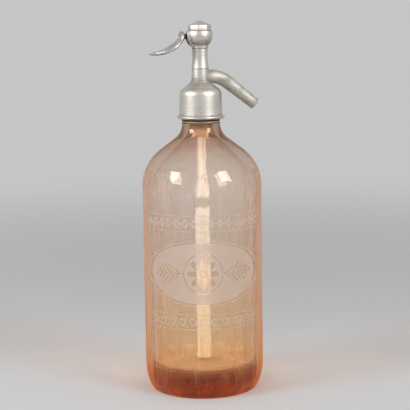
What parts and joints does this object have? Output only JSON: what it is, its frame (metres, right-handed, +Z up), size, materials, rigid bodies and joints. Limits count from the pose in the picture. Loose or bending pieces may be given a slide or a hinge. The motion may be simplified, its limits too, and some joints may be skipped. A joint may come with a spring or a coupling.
{
  "type": "soda siphon",
  "caption": "Glass soda siphon with a faceted pink bottle, turned metal head, bent spout and a spring-returned thumb lever that opens the valve.",
  "frame": {"origin": "centre of the resting ring, on the bottle's axis, in the plane the siphon stands on", "axes": "+Z up along the bottle's axis, +X towards the spout, -X towards the lever, Y along the lever's pin"},
  "size_m": [0.0997, 0.0986, 0.3122],
  "materials": {
    "bottle_glass": "clear pink glass, frosted ornament",
    "tube_glass": "clear to milky glass",
    "tin_alloy": "turned, lightly scuffed",
    "spout_alloy": "dull cast",
    "lever_alloy": "dull cast, worn rims",
    "dark_steel": "oxidised",
    "pin_steel": "bright",
    "collar_brass": "dull",
    "valve_brass": "satin",
    "rubber_seal": "matt",
    "leather_seal": "greased",
    "spring_wire": "drawn"
  },
  "bodies": {
    "head": {"bottle": "bottle_glass", "neck_gasket": "rubber_seal", "collar_half_front": "collar_brass", "collar_half_back": "collar_brass", "head_bell": "tin_alloy", "locking_pin": "pin_steel", "spout": "spout_alloy", "column": "tin_alloy", "lever_housing": "tin_alloy", "housing_cap": "tin_alloy", "lever_pin": "pin_steel", "packing_washers": "leather_seal", "gland_nut": "valve_brass", "spring_washer": "valve_brass", "spring": "spring_wire", "dip_tube": "tube_glass", "tube_sleeve": "rubber_seal", "tube_nut": "valve_brass"},
    "lever": {"lever_tongue": "dark_steel", "lever_thumbpiece": "lever_alloy"},
    "valve": {"valve_rod": "valve_brass", "rod_button": "valve_brass", "valve_rubber": "rubber_seal", "valve_cup": "valve_brass", "valve_nut": "valve_brass"}
  },
  "joints": [
    {"name": "lever_hinge", "type": "hinge", "parent": "head", "child": "lever", "pos_m": [0.0056, 0, 0.2988], "axis": [0, -1, 0], "range_deg": [0, 14], "stiffness_Nm_per_rad": 0.2, "springref_deg": -8.59},
    {"name": "valve_slide", "type": "slide", "parent": "head", "child": "valve", "axis": [0, 0, -1], "range_m": [0, 0.00137], "deforming": ["spring"]}
  ],
  "couplings": [
    {"joint": "lever_hinge", "follows": "valve_slide", "rad_per_m": 178.57}
  ]
}
